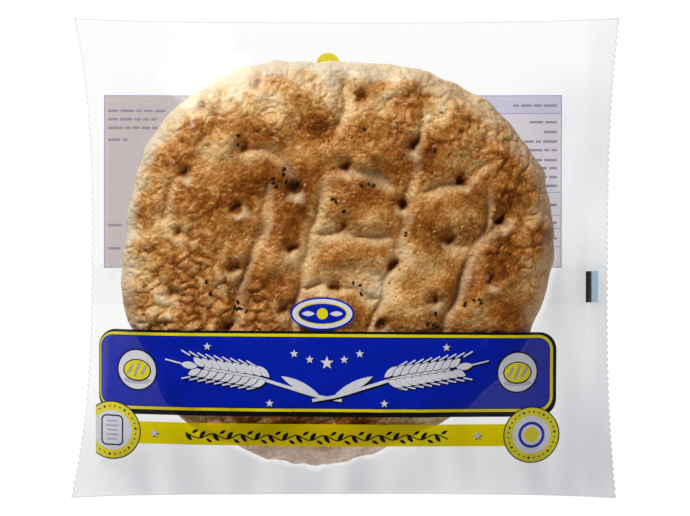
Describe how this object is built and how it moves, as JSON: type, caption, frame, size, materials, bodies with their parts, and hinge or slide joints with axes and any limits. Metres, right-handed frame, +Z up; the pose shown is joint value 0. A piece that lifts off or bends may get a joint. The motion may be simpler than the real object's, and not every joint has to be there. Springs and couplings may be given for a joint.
{
  "type": "turkish flatbread in a clear bag",
  "caption": "Round dimpled Turkish flatbread with black seeds, sealed in a clear flow-wrap bag with a blue and yellow printed band, lying flat with its front up.",
  "frame": {"origin": "under the middle of the bag, on the surface it lies on", "axes": "+X along the bag from its left crimped end to its right one as the front print reads, +Y to the bag's top fold, +Z up out of the front"},
  "size_m": [0.341, 0.2976, 0.0366],
  "materials": {
    "crust": "baked wheat crust, golden brown, dull with a faint oily sheen",
    "black_seed": "dry black seed coat, matt",
    "pale_seed": "toasted sesame, satin",
    "bag_film": "clear cast polypropylene film, glossy, creased",
    "print_ink": "flexographic ink printed on the inside of the film, glossy"
  },
  "bodies": {
    "root": {"bagged_bread": "crust"}
  },
  "joints": []
}
